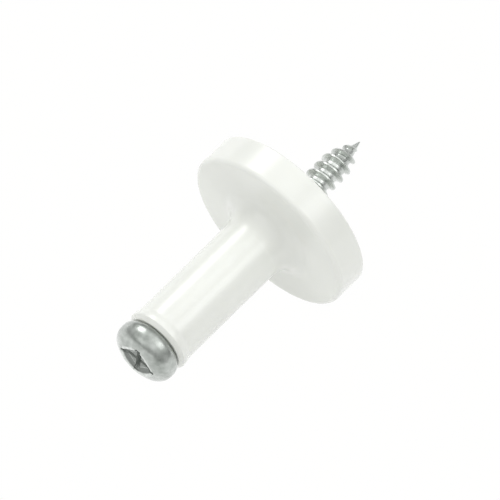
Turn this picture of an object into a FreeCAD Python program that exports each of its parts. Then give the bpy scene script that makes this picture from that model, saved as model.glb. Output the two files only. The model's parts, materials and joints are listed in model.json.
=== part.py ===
import FreeCAD, Part
import math
import os

# Stand-off wall anchor: a moulded plastic sleeve with a wide base flange, and the pan-head
# self-tapping screw that runs through it into the wall.
# Frame, in millimetres: +Z is up. The origin is the centre of the flange face that bears on
# the wall. +Y runs into the wall along the screw, and the screw head is on the -Y side.

# Driving dimensions of the sleeve
sleeve_length = 30.0
flange_diameter = 28.0
flange_thickness = 5.3
tube_diameter = 10.0
bore_diameter = 5.0
base_fillet = 3.8
lip_diameter = 10.44
lip_length = 2.0
lip_taper_length = 0.7
lip_chamfer = 0.6

# Driving dimensions of the screw
screw_length = 45.0
thread_diameter = 4.8
core_diameter = 3.3
thread_pitch = 1.7
point_length = 5.0
head_diameter = 10.3
head_height = 4.62
crown_radius = 8.5
shoulder_rounding = 2.0

# Cross recess in the head: a square funnel with a wing at each of its corners. Its sizes are
# taken level with the top of the crown. The tapers are inwards, in millimetres for each
# millimetre of depth.
recess_span = 7.0
recess_depth = 2.6
wing_width = 0.95
funnel_width = 6.3
funnel_depth = 1.05
funnel_reach = 3.2
funnel_turn = 45.0
recess_angle = 4.0
recess_overrun = 0.5
funnel_taper = 1.5
wing_taper = 0.5
wing_side_taper = 0.06

# Edge roundings
front_rim_rounding = 0.8
rear_rim_rounding = 0.25
lip_edge_rounding = 0.15
lip_blend_rounding = 1.5
bore_mouth_rounding = 0.3
head_rim_rounding = 1.4
neck_rounding = 0.35
point_flat = 0.08

# Thread form
crest_width = 0.26
flank_angle = 30.0
thread_phase = 96.0
plain_neck = 1.2
plain_point = 0.6
thread_run_in = 1.7
thread_run_out = 2.2
ridge_sink = 0.15
samples_per_turn = 8

# Values that follow from the driving dimensions
tube_radius = tube_diameter / 2
flange_radius = flange_diameter / 2
lip_radius = lip_diameter / 2
bore_radius = bore_diameter / 2
head_radius = head_diameter / 2
core_radius = core_diameter / 2
thread_depth = (thread_diameter - core_diameter) / 2
wing_length = recess_span / 2
seat_y = -sleeve_length
head_top_y = seat_y - head_height
tip_y = seat_y + screw_length
point_start_y = tip_y - point_length
thread_first_y = seat_y + plain_neck
thread_last_y = tip_y - plain_point

same_point = 1e-6
origin = FreeCAD.Vector(0, 0, 0)
into_wall = FreeCAD.Vector(0, 1, 0)


def at(radius, y):
    """Point of an outline that is drawn in the XY plane and turned about the Y axis."""
    return FreeCAD.Vector(radius, y, 0)


def turned(edges):
    """Solid of revolution about the Y axis from a closed chain of edges."""
    face = Part.Face(Part.Wire(edges))
    return face.revolve(origin, into_wall, 360)


def rounded_edges(corners, closed):
    """Edges through corners given as (radius, y, rounding), with tangent arcs at the corners.

    A corner with no rounding stays sharp. An open chain keeps its first and last points."""
    count = len(corners)
    starts, ends, arcs = [], [], []
    for i in range(count):
        radius, y, rounding = corners[i]
        corner = at(radius, y)
        if rounding == 0:
            starts.append(corner)
            ends.append(corner)
            arcs.append(None)
            continue
        before = at(*corners[i - 1][:2])
        after = at(*corners[(i + 1) % count][:2])
        back = (before - corner).normalize()
        ahead = (after - corner).normalize()
        half_angle = back.getAngle(ahead) / 2
        reach = rounding / math.tan(half_angle)
        centre_distance = rounding / math.sin(half_angle)
        bisector = (back + ahead).normalize()
        start = corner + back * reach
        end = corner + ahead * reach
        middle = corner + bisector * (centre_distance - rounding)
        starts.append(start)
        ends.append(end)
        arcs.append(Part.Arc(start, middle, end).toShape())
    edges = []
    for i in range(count):
        if arcs[i]:
            edges.append(arcs[i])
        following = (i + 1) % count
        if following == 0 and not closed:
            break
        if ends[i].distanceToPoint(starts[following]) > same_point:
            edges.append(Part.makeLine(ends[i], starts[following]))
    return edges


def make_sleeve():
    """Tube with a clearance bore, a chamfered lip at its free end and a filleted base flange."""
    corners = [
        (bore_radius, 0, bore_mouth_rounding),
        (flange_radius, 0, rear_rim_rounding),
        (flange_radius, -flange_thickness, front_rim_rounding),
        (tube_radius, -flange_thickness, base_fillet),
        (tube_radius, seat_y + lip_length, lip_blend_rounding),
        (lip_radius, seat_y + lip_length - lip_taper_length, lip_blend_rounding),
        (lip_radius, seat_y + lip_chamfer, lip_edge_rounding),
        (lip_radius - lip_chamfer, seat_y, lip_edge_rounding),
        (bore_radius, seat_y, bore_mouth_rounding),
    ]
    return turned(rounded_edges(corners, closed=True))


def head_edges():
    """Pan-head outline from the crown's centre to the flat under the head."""
    crown_centre_y = head_top_y + crown_radius
    shoulder_x = head_radius - shoulder_rounding
    reach = crown_radius - shoulder_rounding
    drop = math.sqrt(reach ** 2 - shoulder_x ** 2)
    shoulder_y = crown_centre_y - drop
    lean = math.atan2(shoulder_x, drop)

    def on_crown(angle):
        return at(crown_radius * math.sin(angle), crown_centre_y - crown_radius * math.cos(angle))

    def on_shoulder(angle):
        x = shoulder_x + shoulder_rounding * math.sin(angle)
        return at(x, shoulder_y - shoulder_rounding * math.cos(angle))

    quarter = math.pi / 2
    crown = Part.Arc(on_crown(0), on_crown(lean / 2), on_crown(lean)).toShape()
    shoulder = Part.Arc(
        on_shoulder(lean), on_shoulder((lean + quarter) / 2), on_shoulder(quarter)
    ).toShape()
    side_and_seat = [
        (head_radius, shoulder_y, 0),
        (head_radius, seat_y, head_rim_rounding),
        (core_radius, seat_y, neck_rounding),
        (core_radius, point_start_y, 0),
        (point_flat, tip_y, 0),
        (0, tip_y, 0),
    ]
    return [crown, shoulder] + rounded_edges(side_and_seat, closed=False)


def make_screw_blank():
    """Head, shank core and point, before the recess is pressed and the thread is rolled."""
    axis = Part.makeLine(at(0, tip_y), at(0, head_top_y))
    return turned(head_edges() + [axis])


def rectangle_across(half_length, half_width, y):
    """Closed rectangle across the head at the height y."""
    corners = [
        FreeCAD.Vector(-half_length, y, -half_width),
        FreeCAD.Vector(half_length, y, -half_width),
        FreeCAD.Vector(half_length, y, half_width),
        FreeCAD.Vector(-half_length, y, half_width),
    ]
    return Part.makePolygon(corners + corners[:1])


def tapered_slot(half_length, half_width, depth, length_taper, width_taper):
    """Cutter that narrows from its mouth, which is level with the crown, down to its floor."""
    mouth = rectangle_across(
        half_length + recess_overrun * length_taper,
        half_width + recess_overrun * width_taper,
        head_top_y - recess_overrun,
    )
    floor = rectangle_across(
        half_length - depth * length_taper, half_width - depth * width_taper, head_top_y + depth
    )
    return Part.makeLoft([mouth, floor], True, True)


def make_recess():
    """Cutter for the cross recess: a square funnel, and two slots across its corners."""
    half_funnel = funnel_width / 2
    half_wing = wing_width / 2
    funnel = tapered_slot(half_funnel, half_funnel, funnel_depth, funnel_taper, funnel_taper)
    funnel.rotate(origin, into_wall, funnel_turn)
    reach = Part.makeCylinder(
        funnel_reach, recess_overrun + recess_depth, at(0, head_top_y - recess_overrun), into_wall
    )
    slot = tapered_slot(wing_length, half_wing, recess_depth, wing_taper, wing_side_taper)
    other_slot = slot.copy()
    other_slot.rotate(origin, into_wall, 90)
    cutter = funnel.common(reach).fuse([slot, other_slot])
    cutter.rotate(origin, into_wall, recess_angle)
    return cutter


def core_radius_at(y):
    """Radius of the screw under its thread, straight and then tapering to the point."""
    if y <= point_start_y:
        return core_radius
    share = (tip_y - y) / point_length
    return point_flat + (core_radius - point_flat) * max(share, 0)


def crest_height_at(y):
    """Height of the thread over the core: it rises under the head and fades at the point."""
    rise = (y - thread_first_y) / thread_run_in
    fade = (thread_last_y - y) / thread_run_out
    return (thread_depth + ridge_sink / 2) * min(rise, fade, 1) - ridge_sink / 2


def ridge_edge(side, on_crest, first_turn, last_turn):
    """One helical edge of the thread ridge, on the head side (-1) or the point side (1)."""
    samples = math.ceil((last_turn - first_turn) * samples_per_turn)
    points = []
    for i in range(samples + 1):
        turn = first_turn + (last_turn - first_turn) * i / samples
        middle_y = thread_first_y + turn * thread_pitch
        height = crest_height_at(middle_y)
        half_width = crest_width / 2
        if not on_crest:
            half_width += (height + ridge_sink) * math.tan(math.radians(flank_angle))
        y = middle_y + side * half_width
        radius = core_radius_at(y) + (height if on_crest else -ridge_sink)
        angle = math.radians(thread_phase) + 2 * math.pi * turn
        points.append(FreeCAD.Vector(radius * math.sin(angle), y, radius * math.cos(angle)))
    curve = Part.BSplineCurve()
    curve.interpolate(points)
    return curve.toShape()


def ridge_piece(first_turn, last_turn):
    """Part of the thread ridge, a solid between four helical edges and two flat ends."""
    edges = [
        ridge_edge(-1, False, first_turn, last_turn),
        ridge_edge(-1, True, first_turn, last_turn),
        ridge_edge(1, True, first_turn, last_turn),
        ridge_edge(1, False, first_turn, last_turn),
    ]
    faces = [Part.makeRuledSurface(edges[i - 1], edges[i]) for i in range(4)]
    for end in (0, -1):
        corners = [edge.Vertexes[end].Point for edge in edges]
        faces.append(Part.Face(Part.makePolygon(corners + corners[:1])))
    shell = Part.makeShell(faces)
    shell.sewShape()
    ridge = Part.makeSolid(shell)
    if ridge.Volume < 0:
        ridge.reverse()
    return ridge


def make_thread():
    """Right-hand thread ridge, as one solid for about each turn."""
    turns = (thread_last_y - thread_first_y) / thread_pitch
    count = round(turns)
    return [ridge_piece(turns * i / count, turns * (i + 1) / count) for i in range(count)]


def make_screw():
    """Finished screw, one solid."""
    return make_screw_blank().fuse(make_thread()).cut(make_recess())


def main():
    os.makedirs("parts", exist_ok=True)
    for name, shape in (("sleeve", make_sleeve()), ("screw", make_screw())):
        print(name, shape.ShapeType, shape.isValid(), len(shape.Solids), round(shape.Volume, 2))
        shape.exportStep("parts/" + name + ".step")


main()
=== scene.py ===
import json
import math

import bmesh
import bpy
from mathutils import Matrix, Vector, noise


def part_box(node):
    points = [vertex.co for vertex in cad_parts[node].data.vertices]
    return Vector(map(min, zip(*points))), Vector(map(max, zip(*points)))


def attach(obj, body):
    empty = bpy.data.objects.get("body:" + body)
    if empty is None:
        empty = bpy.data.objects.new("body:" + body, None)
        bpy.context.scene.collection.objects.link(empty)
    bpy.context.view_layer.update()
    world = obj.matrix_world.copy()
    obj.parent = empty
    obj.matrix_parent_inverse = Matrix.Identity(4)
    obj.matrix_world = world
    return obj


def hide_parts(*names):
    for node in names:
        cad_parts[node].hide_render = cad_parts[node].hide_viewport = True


# Stand-off wall anchor: the looks of the sleeve and the screw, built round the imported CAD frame.
# Metres. +Y runs into the wall along the screw, the screw head is on the -Y side, +Z is up.

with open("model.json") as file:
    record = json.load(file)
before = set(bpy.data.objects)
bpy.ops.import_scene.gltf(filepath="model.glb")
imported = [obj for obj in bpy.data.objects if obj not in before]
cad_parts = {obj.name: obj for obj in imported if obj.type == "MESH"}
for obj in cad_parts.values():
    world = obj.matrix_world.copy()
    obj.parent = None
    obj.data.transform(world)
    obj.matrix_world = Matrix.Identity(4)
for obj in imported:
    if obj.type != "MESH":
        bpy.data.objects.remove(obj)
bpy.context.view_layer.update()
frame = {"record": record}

MM = 0.001
TURN = 2 * math.pi
QUARTER = math.pi / 2

# Places and sizes from the frame
mounts = {mount["name"]: mount for mount in frame["record"]["mounts"]}
sleeve_low, sleeve_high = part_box("sleeve")
screw_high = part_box("screw")[1]
wall_y = sleeve_high.y
seat_y = sleeve_low.y
tip_y = screw_high.y
flange_radius = sleeve_high.x
head_radius = screw_high.x
tube_radius = mounts["hanging_tube"]["dims"]["r_mm"] * MM

# Sleeve details
bore_radius = 2.5 * MM
flange_thickness = 5.3 * MM
base_fillet = 3.8 * MM
lip_radius = tube_radius + 0.22 * MM
lip_length = 2.0 * MM
lip_taper_length = 0.7 * MM
lip_chamfer = 0.6 * MM
front_rim_rounding = 0.8 * MM
rear_rim_rounding = 0.25 * MM
lip_edge_rounding = 0.15 * MM
lip_blend_rounding = 1.5 * MM
bore_mouth_rounding = 0.3 * MM

# Screw details
head_top_y = seat_y - 4.62 * MM
core_radius = 1.65 * MM
point_length = 5.0 * MM
point_flat = 0.08 * MM
crown_radius = 8.5 * MM
shoulder_rounding = 2.0 * MM
head_rim_rounding = 1.4 * MM
neck_rounding = 0.35 * MM

# Thread form
thread_depth = 0.75 * MM
thread_pitch = 1.7 * MM
thread_phase = math.radians(96)
thread_run_in = 1.7 * MM
thread_run_out = 2.2 * MM
plain_neck = 1.2 * MM
plain_point = 0.6 * MM
crest_width = 0.26 * MM
flank_slope = math.tan(math.radians(30))
crest_softness = 0.05 * MM
root_softness = 0.16 * MM

# Cross recess: a square funnel with a wing at each corner. Depths are measured from the top of
# the crown, and a taper is the narrowing on each side for each metre of depth.
recess_angle = math.radians(94)
recess_depth = 2.6 * MM
wing_length = 3.5 * MM
wing_half_width = 0.475 * MM
wing_taper = 0.5
wing_side_taper = 0.06
funnel_half_width = 3.15 * MM
funnel_depth = 1.05 * MM
funnel_taper = 1.5
funnel_reach = 3.2 * MM
crown_ring_radius = 3.9 * MM
widest_mouth = 4 * MM

# The edge round the recess's mouth is crisp at a wing's end and more rounded between wings. It
# changes over a band of degrees from a wing's middle, and reaches less far down than outwards.
wing_rounding = 0.08 * MM
side_rounding = 0.42 * MM
rounding_change_starts = 8
rounding_change_band = 14
rounding_down_share = 0.6

# Handling dents in the head
dent_size = 1.3 * MM
dent_depth = 0.035 * MM
dent_margin = 0.1 * MM
fine_dents_per_dent = 2.3
fine_dent_share = 0.5

# How finely the surfaces are divided
same_place = 1e-7
sleeve_columns = 288
arc_step = math.radians(7.5)
straight_step = 1.2 * MM
support = 0.08 * MM
crown_steps = 3
shoulder_steps = 14
rows_per_pitch = 16
wing_band = 14
wing_steps = 12
between_steps = 7
halvings = 30
sleeve_sharp_angle = math.radians(50)
screw_sharp_angle = math.radians(42)

# Colours: two of a kind are the darker and the lighter end of a blend
plastic_colours = (0.795, 0.81, 0.765), (0.825, 0.84, 0.795)
head_colours = (0.27, 0.295, 0.27), (0.50, 0.53, 0.50)
thread_colours = (0.46, 0.485, 0.46), (0.61, 0.64, 0.61)
# Painted highlight: lighter metal along the recess's mouth, where its rounded edge would catch the
# light
rim_highlight_colours = (0.44, 0.47, 0.44), (0.74, 0.77, 0.74)
# Painted shade for the recess: dark metal, with the lighter end painted at its bottom
recess_shade_colours = (0.23, 0.245, 0.23), (0.36, 0.385, 0.36)
# Painted highlight: a light line at the foot of the funnel's wall, where its edge would catch the
# light
foot_highlight_colour = (0.62, 0.65, 0.62)
white = (1, 1, 0.995, 1)

# Where the recess changes its look, as shares of its depth below the crown
# The painted highlight along the mouth's edge spans this range
rim_highlight_range = 0.0003, 0.006
inside_range = 0.07, 0.13
# The painted shade in the recess lightens over this range towards the bottom
deep_range = 0.15, 0.6

# Surfaces
noise_range = 0.3, 0.7
plastic_roughness = 0.13, 0.18
steel_roughness = 0.28, 0.42
recess_added_roughness = 0.35
recess_metallic = 0.2

# Studio: a strength or a radiance of 1 is white
view_azimuth = math.radians(41.38)
view_elevation = math.radians(59.98)
view_width = 72.61 * MM
view_centre = Vector((-1.11, -7.83, -2.97)) * MM
view_distance = 1.0
floor_size = 4.0
floor_gap = 0.02 * MM
floor_white = 0.45
floor_glow = 0.6
horizon_top = 0.1
ceiling_bottom = 0.8
horizon_strength = 0.27
ceiling_strength = 1.38
reflected_horizon = 0.55
light_distance = 0.5

# Soft lights: name, direction from the object, width and height in metres, radiance
softboxes = [
    ("key", (-0.68, 0.30, 0.66), 0.32, 0.40, 4.7),
    ("side", (0.58, 0.31, 0.74), 0.34, 0.40, 2.5),
    ("front", (-0.35, -0.80, 0.48), 0.6, 0.6, 0.8),
    ("top", (0.015, 0.375, 0.927), 0.4, 0.3, 0.75),
]


# Outlines

def rounded_outline(corners):
    """Arcs and points along a chain of (radius, y, rounding) corners, one list for each corner."""
    pieces = []
    for i, (radius, y, rounding) in enumerate(corners):
        corner = Vector((radius, y))
        if rounding == 0:
            pieces.append([corner])
            continue
        back = (Vector(corners[i - 1][:2]) - corner).normalized()
        ahead = (Vector(corners[(i + 1) % len(corners)][:2]) - corner).normalized()
        half_angle = back.angle(ahead) / 2
        reach = rounding / math.tan(half_angle)
        centre = corner + (back + ahead).normalized() * (rounding / math.sin(half_angle))
        first = (corner + back * reach - centre).normalized()
        last = (corner + ahead * reach - centre).normalized()
        steps = max(2, math.ceil((math.pi - 2 * half_angle) / arc_step))
        pieces.append([centre + first.slerp(last, s / steps) * rounding for s in range(steps + 1)])
    return pieces


def joined(pieces, closed):
    """One list of points from the pieces of an outline, with the straights between them divided."""
    points = []
    for i, piece in enumerate(pieces):
        points += piece
        if i + 1 == len(pieces) and not closed:
            break
        start = piece[-1]
        end = pieces[(i + 1) % len(pieces)][0]
        length = (end - start).length
        if length > 4 * support:
            steps = max(1, math.ceil((length - 2 * support) / straight_step))
            span = (length - 2 * support) / length
            edge = support / length
            points += [start.lerp(end, edge + span * s / steps) for s in range(steps + 1)]
    return points


def turned_point(radius, y, angle):
    """Point at a distance from the screw's axis, in a direction round it."""
    return Vector((radius * math.sin(angle), y, radius * math.cos(angle)))


# Meshes

def bridge(bm, first, second):
    """Quads between two rings of the same number of vertices."""
    count = len(first)
    for k in range(count):
        following = (k + 1) % count
        bm.faces.new((first[k], first[following], second[following], second[k]))


def finished(name, bm, sharp_angle):
    """Object from a mesh, smooth except where its faces meet at more than sharp_angle."""
    bmesh.ops.remove_doubles(bm, verts=bm.verts, dist=same_place)
    bmesh.ops.recalc_face_normals(bm, faces=bm.faces)
    mesh = bpy.data.meshes.new(name)
    bm.to_mesh(mesh)
    bm.free()
    mesh.shade_smooth()
    mesh.set_sharp_from_angle(angle=sharp_angle)
    piece = bpy.data.objects.new(name, mesh)
    bpy.context.scene.collection.objects.link(piece)
    return piece


# Sleeve

def sleeve_outline():
    """Closed outline of the bore, flange, fillet, tube and lip."""
    flange_front_y = wall_y - flange_thickness
    corners = [
        (bore_radius, wall_y, bore_mouth_rounding),
        (flange_radius, wall_y, rear_rim_rounding),
        (flange_radius, flange_front_y, front_rim_rounding),
        (tube_radius, flange_front_y, base_fillet),
        (tube_radius, seat_y + lip_length, lip_blend_rounding),
        (lip_radius, seat_y + lip_length - lip_taper_length, lip_blend_rounding),
        (lip_radius, seat_y + lip_chamfer, lip_edge_rounding),
        (lip_radius - lip_chamfer, seat_y, lip_edge_rounding),
        (bore_radius, seat_y, bore_mouth_rounding),
    ]
    return joined(rounded_outline(corners), closed=True)


def make_sleeve():
    """The whole moulding, turned in one."""
    angles = [TURN * k / sleeve_columns for k in range(sleeve_columns)]
    bm = bmesh.new()
    rings = []
    for radius, y in sleeve_outline():
        rings.append([bm.verts.new(turned_point(radius, y, angle)) for angle in angles])
    for i, ring in enumerate(rings):
        bridge(bm, rings[i - 1], ring)
    return finished("sleeve_body", bm, sleeve_sharp_angle)


# Cross recess. A place in it is a radius and a depth below the top of the crown.

def from_wing(angle):
    """Angle to the middle of the nearest wing, from one that is measured from a wing's middle."""
    return abs((angle + QUARTER / 2) % QUARTER - QUARTER / 2)


def recess_radius(angle, depth, with_funnel):
    """Distance from the axis to the recess wall at a depth, in a direction from a wing's middle."""
    across = from_wing(angle)
    length = wing_length - wing_taper * depth
    half_width = wing_half_width - wing_side_taper * depth
    own_wing = length / math.cos(across)
    if across > 0:
        own_wing = min(own_wing, half_width / math.sin(across))
    radius = max(own_wing, half_width / math.cos(across))
    if with_funnel:
        half_funnel = funnel_half_width - funnel_taper * depth
        radius = max(radius, min(half_funnel / math.cos(QUARTER / 2 - across), funnel_reach))
    return radius


def crown_sag(radius):
    """Depth of the crown's surface at a distance from the axis."""
    return crown_radius - math.sqrt(crown_radius ** 2 - radius ** 2)


def mouth_radius(angle):
    """Where the recess wall meets the crown, by halving the range that holds it."""
    low, high = 0.0, widest_mouth
    for _ in range(halvings):
        middle = (low + high) / 2
        if recess_radius(angle, crown_sag(middle), True) > middle:
            low = middle
        else:
            high = middle
    return low


def rounding_reach(angle):
    """How far outwards the mouth's rounding reaches."""
    share = (math.degrees(from_wing(angle)) - rounding_change_starts) / rounding_change_band
    share = min(max(share, 0), 1)
    return wing_rounding + (side_rounding - wing_rounding) * share * share * (3 - 2 * share)


def wall_top(angle, mouth):
    """Depth at which the recess wall gives way to the mouth's rounding."""
    return crown_sag(mouth) + rounding_down_share * rounding_reach(angle)


def floor_place(angle, mouth, share):
    return share * recess_radius(angle, recess_depth, False), recess_depth


def wing_wall_place(angle, mouth, share):
    depth = recess_depth + (funnel_depth - recess_depth) * share
    return recess_radius(angle, depth, False), depth


def funnel_floor_place(angle, mouth, share):
    inner = recess_radius(angle, funnel_depth, False)
    return inner + (recess_radius(angle, funnel_depth, True) - inner) * share, funnel_depth


def funnel_wall_place(angle, mouth, share):
    depth = funnel_depth + (wall_top(angle, mouth) - funnel_depth) * share
    return recess_radius(angle, depth, True), depth


def rounding_place(angle, mouth, share):
    below = wall_top(angle, mouth)
    low = Vector((recess_radius(angle, below, True), below))
    corner = Vector((mouth, crown_sag(mouth)))
    outer = mouth + rounding_reach(angle)
    high = Vector((outer, crown_sag(outer)))
    return tuple(low.lerp(corner, share).lerp(corner.lerp(high, share), share))


def crown_place(angle, mouth, share):
    start = mouth + rounding_reach(angle)
    radius = start + (crown_ring_radius - start) * share
    return radius, crown_sag(radius)


# Parts of the recess from its floor up, with the shares of the way up or across that have a ring
recess_parts = [
    (floor_place, (0.35, 0.7, 1)),
    (wing_wall_place, (0.3, 0.65, 1)),
    (funnel_floor_place, (0.85, 1)),
    (funnel_wall_place, (0.1, 0.4, 0.7, 1)),
    (rounding_place, (0.17, 0.33, 0.5, 0.67, 0.83, 1)),
    (crown_place, (0.33, 0.67, 1)),
]


def recess_rings(angles):
    """Rings of (radius, y) from the floor of the recess to the round part of the crown.

    The second result has, for each ring, whether it gets the painted highlight at the foot of the
    funnel's wall."""
    mouths = [mouth_radius(angle) for angle in angles]
    rings = []
    painted_highlight = []
    for place, shares in recess_parts:
        for share in shares:
            places = [place(angle, mouth, share) for angle, mouth in zip(angles, mouths)]
            rings.append([(radius, head_top_y + depth) for radius, depth in places])
            painted_highlight.append(place is funnel_floor_place and share == 1)
    return rings, painted_highlight


# Screw

def column_angles():
    """Angles of the screw's columns, closer together across each wing of the recess."""
    between_band = 45 - wing_band
    half = [wing_band * s / wing_steps for s in range(wing_steps)]
    half += [wing_band + between_band * s / between_steps for s in range(between_steps)]
    quarter = half + [45] + [90 - angle for angle in reversed(half[1:])]
    return [math.radians(90 * turn + angle) for turn in range(4) for angle in quarter]


def head_outline():
    """Crown, shoulder, side, seat and neck of the head, outwards from the crown's round part."""
    crown_centre_y = head_top_y + crown_radius
    shoulder_x = head_radius - shoulder_rounding
    drop = math.sqrt((crown_radius - shoulder_rounding) ** 2 - shoulder_x ** 2)
    shoulder_y = crown_centre_y - drop
    lean = math.atan2(shoulder_x, drop)
    first = math.asin(crown_ring_radius / crown_radius)
    points = []
    for s in range(1, crown_steps):
        angle = first + (lean - first) * s / crown_steps
        x = crown_radius * math.sin(angle)
        points.append(Vector((x, crown_centre_y - crown_radius * math.cos(angle))))
    for s in range(shoulder_steps):
        angle = lean + (QUARTER - lean) * s / shoulder_steps
        x = shoulder_x + shoulder_rounding * math.sin(angle)
        points.append(Vector((x, shoulder_y - shoulder_rounding * math.cos(angle))))
    corners = [
        (head_radius, shoulder_y, 0),
        (head_radius, seat_y, head_rim_rounding),
        (core_radius, seat_y, neck_rounding),
        (core_radius, seat_y + plain_neck, 0),
    ]
    return points + joined(rounded_outline(corners)[:-1], closed=False)


def soft_min(a, b, softness):
    """The smaller of two values, with the corner between them rounded off."""
    overlap = max(softness - abs(a - b), 0) / softness
    return min(a, b) - overlap * overlap * softness / 4


def thread_height(from_crest, y):
    """Height of the thread over the core, from the distance along the axis to the nearest crest."""
    rise = (y - seat_y - plain_neck) / thread_run_in
    fade = (tip_y - plain_point - y) / thread_run_out
    full = thread_depth * max(min(rise, fade, 1), 0)
    flank = full + (crest_width / 2 - abs(from_crest)) / flank_slope
    top = soft_min(flank, full, crest_softness)
    return -soft_min(-top, 0, root_softness) - root_softness / 4


def shank_radius(y, angle):
    """Radius of the threaded shank or point at a place."""
    core = core_radius
    if y > tip_y - point_length:
        core = point_flat + (core_radius - point_flat) * (tip_y - y) / point_length
    turns = (y - seat_y - plain_neck) / thread_pitch - (angle - thread_phase) / TURN
    from_crest = (turns - round(turns)) * thread_pitch
    return core + max(thread_height(from_crest, y), 0)


def add_shank(bm, angles, start_y):
    """Rows of vertices that follow the thread, flattened where they pass either end."""
    crest_y = seat_y + plain_neck + thread_pitch * (recess_angle - thread_phase) / TURN
    first_row_y = crest_y - thread_pitch * math.ceil((crest_y - start_y) / thread_pitch + 1)
    row_step = thread_pitch / rows_per_pitch
    rows = []
    for m in range(math.ceil((tip_y - first_row_y) / row_step) + 1):
        row = []
        for angle in angles + [TURN]:
            y = first_row_y + row_step * m + thread_pitch * angle / TURN
            y = min(max(y, start_y), tip_y)
            radius = shank_radius(y, angle + recess_angle)
            row.append(bm.verts.new(turned_point(radius, y, angle + recess_angle)))
        rows.append(row)
    for row, following in zip(rows, rows[1:]):
        for k in range(len(angles)):
            bm.faces.new((row[k], row[k + 1], following[k + 1], following[k]))


def add_head(bm, angles, outline):
    """Surface from the middle of the recess's floor over the head to the neck."""
    # Flags the ring that gets the painted highlight at the foot of the funnel's wall
    foot_highlight = bm.verts.layers.float.new("foot_highlight")
    places, painted_highlight = recess_rings(angles)
    places += [[(radius, y)] * len(angles) for radius, y in outline]
    painted_highlight += [False] * len(outline)
    rings = []
    for ring, has_foot_highlight in zip(places, painted_highlight):
        points = [turned_point(*place, angle + recess_angle) for place, angle in zip(ring, angles)]
        rings.append([bm.verts.new(point) for point in points])
        for vertex in rings[-1]:
            vertex[foot_highlight] = has_foot_highlight
    for first, second in zip(rings, rings[1:]):
        bridge(bm, first, second)
    floor_centre = bm.verts.new((0, head_top_y + recess_depth, 0))
    for k in range(len(angles)):
        bm.faces.new((rings[0][k - 1], rings[0][k], floor_centre))


def mark_recess(bm):
    """Notes on each vertex how far below the crown it is, as a share of the recess's depth."""
    layer = bm.verts.layers.float.new("recess_share")
    for vertex in bm.verts:
        radius = math.hypot(vertex.co.x, vertex.co.z)
        if vertex.co.y < seat_y and radius < crown_ring_radius:
            below = vertex.co.y - head_top_y - crown_sag(radius)
            vertex[layer] = max(below, 0) / recess_depth


def dent(bm):
    """Shallow handling dents in the crown, shoulder and side of the head."""
    bm.normal_update()
    for vertex in bm.verts:
        if vertex.co.y > seat_y - dent_margin or vertex.normal.length == 0:
            continue
        if math.hypot(vertex.co.x, vertex.co.z) < crown_ring_radius - dent_margin:
            continue
        place = vertex.co / dent_size
        amount = noise.noise(place) + fine_dent_share * noise.noise(place * fine_dents_per_dent)
        vertex.co -= vertex.normal * dent_depth * max(amount, 0)


def make_screw():
    """Recessed head, neck, rolled thread and point, one surface from the recess to the tip."""
    angles = column_angles()
    outline = head_outline()
    bm = bmesh.new()
    add_head(bm, angles, outline)
    add_shank(bm, angles, outline[-1].y)
    bmesh.ops.remove_doubles(bm, verts=bm.verts, dist=same_place)
    bmesh.ops.holes_fill(bm, edges=[edge for edge in bm.edges if edge.is_boundary])
    bmesh.ops.recalc_face_normals(bm, faces=bm.faces)
    mark_recess(bm)
    dent(bm)
    return finished("screw_body", bm, screw_sharp_angle)


# Parts of materials

def new_material(name):
    """Material with only its output and one Principled node."""
    material = bpy.data.materials.new(name)
    material.use_nodes = True
    return material, material.node_tree, material.node_tree.nodes["Principled BSDF"]


def object_place(tree):
    """The object's own coordinates, which turn with it."""
    return tree.nodes.new("ShaderNodeTexCoord").outputs["Object"]


def noise_value(tree, place, scale, detail):
    """Noise with its scale in bumps per millimetre."""
    node = tree.nodes.new("ShaderNodeTexNoise")
    node.inputs["Scale"].default_value = scale / MM
    node.inputs["Detail"].default_value = detail
    tree.links.new(place, node.inputs["Vector"])
    return node.outputs["Fac"]


def spread(tree, value, low, high, from_low=noise_range[0], from_high=noise_range[1]):
    """Maps from_low..from_high, by default a noise's usual range, to low..high."""
    node = tree.nodes.new("ShaderNodeMapRange")
    node.inputs["From Min"].default_value = from_low
    node.inputs["From Max"].default_value = from_high
    node.inputs["To Min"].default_value = low
    node.inputs["To Max"].default_value = high
    tree.links.new(value, node.inputs["Value"])
    return node.outputs["Result"]


def mixed_colour(tree, share, first, second):
    """Blend by a share of two colours, each plain or the output of another node."""
    node = tree.nodes.new("ShaderNodeMix")
    node.data_type = "RGBA"
    for socket, colour in (("A", first), ("B", second)):
        if isinstance(colour, tuple):
            node.inputs[socket].default_value = (*colour, 1)
        else:
            tree.links.new(colour, node.inputs[socket])
    tree.links.new(share, node.inputs["Factor"])
    return node.outputs["Result"]


def attribute(tree, name):
    """Values that a mesh carries on its vertices."""
    node = tree.nodes.new("ShaderNodeAttribute")
    node.attribute_name = name
    return node.outputs["Fac"]


def bumped(tree, height, distance, strength, below=None):
    """Bump of a height that runs from 0 to 1, over another bump when one is given."""
    node = tree.nodes.new("ShaderNodeBump")
    node.inputs["Distance"].default_value = distance
    node.inputs["Strength"].default_value = strength
    tree.links.new(height, node.inputs["Height"])
    if below is not None:
        tree.links.new(below, node.inputs["Normal"])
    return node.outputs["Normal"]


# Plastic

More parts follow.
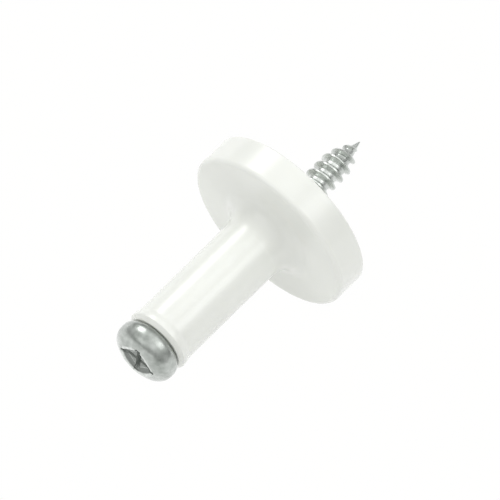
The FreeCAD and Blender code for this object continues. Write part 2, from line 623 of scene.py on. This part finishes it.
def plastic_material():
    """White glossy moulded plastic: faint clouding, a fine satin grain and soft waviness."""
    material, tree, surface = new_material("sleeve_plastic")
    place = object_place(tree)
    clouds = noise_value(tree, place, 0.16, 3)
    grain = noise_value(tree, place, 5, 2)
    waves = noise_value(tree, place, 0.35, 1)
    colour = mixed_colour(tree, spread(tree, clouds, 0, 1), *plastic_colours)
    tree.links.new(colour, surface.inputs["Base Color"])
    tree.links.new(spread(tree, grain, *plastic_roughness), surface.inputs["Roughness"])
    surface.inputs["IOR"].default_value = 1.5
    surface.inputs["Subsurface Weight"].default_value = 0.15
    surface.inputs["Subsurface Radius"].default_value = (1.0, 1.0, 0.9)
    surface.inputs["Subsurface Scale"].default_value = 1.2 * MM
    rough = bumped(tree, grain, 0.004 * MM, 0.3)
    tree.links.new(bumped(tree, waves, 0.02 * MM, 0.5, rough), surface.inputs["Normal"])
    return material


# Steel

def plating_colour(tree, place, blotches):
    """Blotched zinc, lighter along the thread than on the head."""
    along = tree.nodes.new("ShaderNodeSeparateXYZ")
    tree.links.new(place, along.inputs["Vector"])
    past_head = spread(tree, along.outputs["Y"], 0, 1, seat_y, seat_y + plain_neck)
    blotch_share = spread(tree, blotches, 0, 1)
    head = mixed_colour(tree, blotch_share, *head_colours)
    thread = mixed_colour(tree, blotch_share, *thread_colours)
    return mixed_colour(tree, past_head, head, thread)


def recess_shade_colour(tree, below_crown):
    """Painted shade: dark metal in the recess, painted lighter towards the bottom, with a painted
    highlight line at the foot of the funnel.
    """
    shaded_recess = mixed_colour(tree, spread(tree, below_crown, 0, 1, *deep_range), *recess_shade_colours)
    return mixed_colour(tree, attribute(tree, "foot_highlight"), shaded_recess, foot_highlight_colour)


def roughened_inside(tree, patches, inside):
    """Patchy polish outside the recess, and a duller surface in it."""
    node = tree.nodes.new("ShaderNodeMath")
    node.operation = "MULTIPLY_ADD"
    node.inputs[1].default_value = recess_added_roughness
    tree.links.new(inside, node.inputs[0])
    tree.links.new(spread(tree, patches, *steel_roughness), node.inputs[2])
    return node.outputs["Value"]


def steel_bumps(tree, grain, patches, blotches):
    """Fine grain, shallow patches and broad blotches, one over the other."""
    fine = bumped(tree, grain, 0.006 * MM, 0.5)
    patchy = bumped(tree, patches, 0.035 * MM, 0.5, fine)
    return bumped(tree, blotches, 0.05 * MM, 0.5, patchy)


def steel_material():
    """Bright zinc plating on cold-formed steel, with a painted highlight round the recess's mouth
    and painted shade in a duller recess.
    """
    material, tree, surface = new_material("plated_steel")
    place = object_place(tree)
    blotches = noise_value(tree, place, 0.7, 4)
    patches = noise_value(tree, place, 1.7, 2)
    grain = noise_value(tree, place, 9, 3)
    below_crown = attribute(tree, "recess_share")
    rim = spread(tree, below_crown, 0, 1, *rim_highlight_range)
    inside = spread(tree, below_crown, 0, 1, *inside_range)

    # Painted highlight along the recess's mouth
    painted_highlight = mixed_colour(tree, spread(tree, patches, 0, 1), *rim_highlight_colours)
    outside_colour = mixed_colour(tree, rim, plating_colour(tree, place, blotches), painted_highlight)
    # Painted shade inside the recess
    colour = mixed_colour(tree, inside, outside_colour, recess_shade_colour(tree, below_crown))
    tree.links.new(colour, surface.inputs["Base Color"])
    tree.links.new(spread(tree, inside, 1, recess_metallic, 0, 1), surface.inputs["Metallic"])
    tree.links.new(roughened_inside(tree, patches, inside), surface.inputs["Roughness"])
    tree.links.new(spread(tree, inside, 1, 0, 0, 1), surface.inputs["Coat Weight"])
    surface.inputs["Coat Roughness"].default_value = 0.14
    surface.inputs["Coat IOR"].default_value = 1.6
    tree.links.new(steel_bumps(tree, grain, patches, blotches), surface.inputs["Normal"])
    return material


# Studio

def camera_sees_white(tree, shader, output):
    """Shows plain white to the camera and the given shader to everything else."""
    path = tree.nodes.new("ShaderNodeLightPath")
    plain = tree.nodes.new("ShaderNodeEmission")
    plain.inputs["Color"].default_value = white
    choice = tree.nodes.new("ShaderNodeMixShader")
    tree.links.new(path.outputs["Is Camera Ray"], choice.inputs["Fac"])
    tree.links.new(shader, choice.inputs[1])
    tree.links.new(plain.outputs["Emission"], choice.inputs[2])
    tree.links.new(choice.outputs["Shader"], output.inputs["Surface"])


def floor_material():
    """White paper with a glow of its own, which lights the object from below."""
    material = bpy.data.materials.new("white_sweep")
    material.use_nodes = True
    tree = material.node_tree
    tree.nodes.clear()
    paper = tree.nodes.new("ShaderNodeBsdfDiffuse")
    paper.inputs["Color"].default_value = (floor_white, floor_white, floor_white, 1)
    glow = tree.nodes.new("ShaderNodeEmission")
    glow.inputs["Strength"].default_value = floor_glow
    lit = tree.nodes.new("ShaderNodeAddShader")
    tree.links.new(paper.outputs["BSDF"], lit.inputs[0])
    tree.links.new(glow.outputs["Emission"], lit.inputs[1])
    output = tree.nodes.new("ShaderNodeOutputMaterial")
    camera_sees_white(tree, lit.outputs["Shader"], output)
    return material


def make_floor():
    """White sweep that the object rests on."""
    half = floor_size / 2
    z = sleeve_low.z - floor_gap
    corners = [(-half, -half), (half, -half), (half, half), (-half, half)]
    bm = bmesh.new()
    bm.faces.new([bm.verts.new((x, y, z)) for x, y in corners])
    mesh = bpy.data.meshes.new("floor")
    bm.to_mesh(mesh)
    bm.free()
    mesh.materials.append(floor_material())
    floor = bpy.data.objects.new("floor", mesh)
    bpy.context.scene.collection.objects.link(floor)


def reflected_at_least(tree, strength):
    """Raises a strength to that of the reflected horizon, for reflections only."""
    path = tree.nodes.new("ShaderNodeLightPath")
    reflected = tree.nodes.new("ShaderNodeMath")
    reflected.operation = "MULTIPLY"
    reflected.inputs[1].default_value = reflected_horizon
    tree.links.new(path.outputs["Is Glossy Ray"], reflected.inputs[0])
    brighter = tree.nodes.new("ShaderNodeMath")
    brighter.operation = "MAXIMUM"
    tree.links.new(reflected.outputs["Value"], brighter.inputs[0])
    tree.links.new(strength, brighter.inputs[1])
    return brighter.outputs["Value"]


def make_world():
    """Room that is darker at the horizon than overhead, and less dark there in reflections."""
    world = bpy.data.worlds.new("studio")
    bpy.context.scene.world = world
    world.use_nodes = True
    tree = world.node_tree
    tree.nodes.clear()
    split = tree.nodes.new("ShaderNodeSeparateXYZ")
    direction = tree.nodes.new("ShaderNodeTexCoord").outputs["Generated"]
    tree.links.new(direction, split.inputs["Vector"])
    rise = tree.nodes.new("ShaderNodeMapRange")
    rise.interpolation_type = "SMOOTHSTEP"
    rise.inputs["From Min"].default_value = horizon_top
    rise.inputs["From Max"].default_value = ceiling_bottom
    rise.inputs["To Min"].default_value = horizon_strength
    rise.inputs["To Max"].default_value = ceiling_strength
    tree.links.new(split.outputs["Z"], rise.inputs["Value"])
    room = tree.nodes.new("ShaderNodeBackground")
    tree.links.new(reflected_at_least(tree, rise.outputs["Result"]), room.inputs["Strength"])
    output = tree.nodes.new("ShaderNodeOutputWorld")
    camera_sees_white(tree, room.outputs["Background"], output)


def soften_edges(tree, emission, radiance):
    """Fades a light's emission from its middle to nothing at its edges."""
    place = tree.nodes.new("ShaderNodeNewGeometry").outputs["Parametric"]
    centred = tree.nodes.new("ShaderNodeVectorMath")
    centred.operation = "MULTIPLY_ADD"
    centred.inputs[1].default_value = (2, 2, 0)
    centred.inputs[2].default_value = (-1, -1, 0)
    tree.links.new(place, centred.inputs[0])
    distance = tree.nodes.new("ShaderNodeVectorMath")
    distance.operation = "LENGTH"
    tree.links.new(centred.outputs["Vector"], distance.inputs[0])
    fade = tree.nodes.new("ShaderNodeMapRange")
    fade.interpolation_type = "SMOOTHERSTEP"
    fade.inputs["From Min"].default_value = 1
    fade.inputs["From Max"].default_value = 0
    fade.inputs["To Max"].default_value = radiance
    tree.links.new(distance.outputs["Value"], fade.inputs["Value"])
    tree.links.new(fade.outputs["Result"], emission.inputs["Strength"])


def make_softbox(name, direction, width, height, radiance):
    """Soft light that faces the object, with its radiance at the middle."""
    data = bpy.data.lights.new(name, "AREA")
    data.shape = "RECTANGLE"
    data.size = width
    data.size_y = height
    # Pi watts for each square metre of light is a radiance of 1
    data.energy = math.pi * width * height
    data.use_nodes = True
    soften_edges(data.node_tree, data.node_tree.nodes["Emission"], radiance)
    towards = Vector(direction).normalized()
    light = bpy.data.objects.new(name, data)
    light.location = view_centre + towards * light_distance
    light.rotation_mode = "QUATERNION"
    light.rotation_quaternion = towards.to_track_quat("Z", "Y")
    light.visible_camera = False
    bpy.context.scene.collection.objects.link(light)


def make_camera():
    """Camera without perspective, as from far away on a long lens."""
    level = math.cos(view_elevation)
    back = Vector((
        math.sin(view_azimuth) * level,
        -math.cos(view_azimuth) * level,
        math.sin(view_elevation),
    ))
    data = bpy.data.cameras.new("camera")
    data.type = "ORTHO"
    data.ortho_scale = view_width
    data.clip_end = 10
    camera = bpy.data.objects.new("camera", data)
    camera.location = view_centre + back * view_distance
    camera.rotation_mode = "QUATERNION"
    camera.rotation_quaternion = (-back).to_track_quat("-Z", "Y")
    bpy.context.scene.collection.objects.link(camera)
    bpy.context.scene.camera = camera


def dress(piece, node, material):
    """Gives a piece its material, and ties it to the CAD node that it stands for."""
    piece.data.materials.append(material)
    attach(piece, node)
    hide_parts(node)


dress(make_sleeve(), "sleeve", plastic_material())
dress(make_screw(), "screw", steel_material())

make_floor()
make_world()
make_camera()
for softbox in softboxes:
    make_softbox(*softbox)
bpy.context.scene.view_settings.view_transform = "Standard"
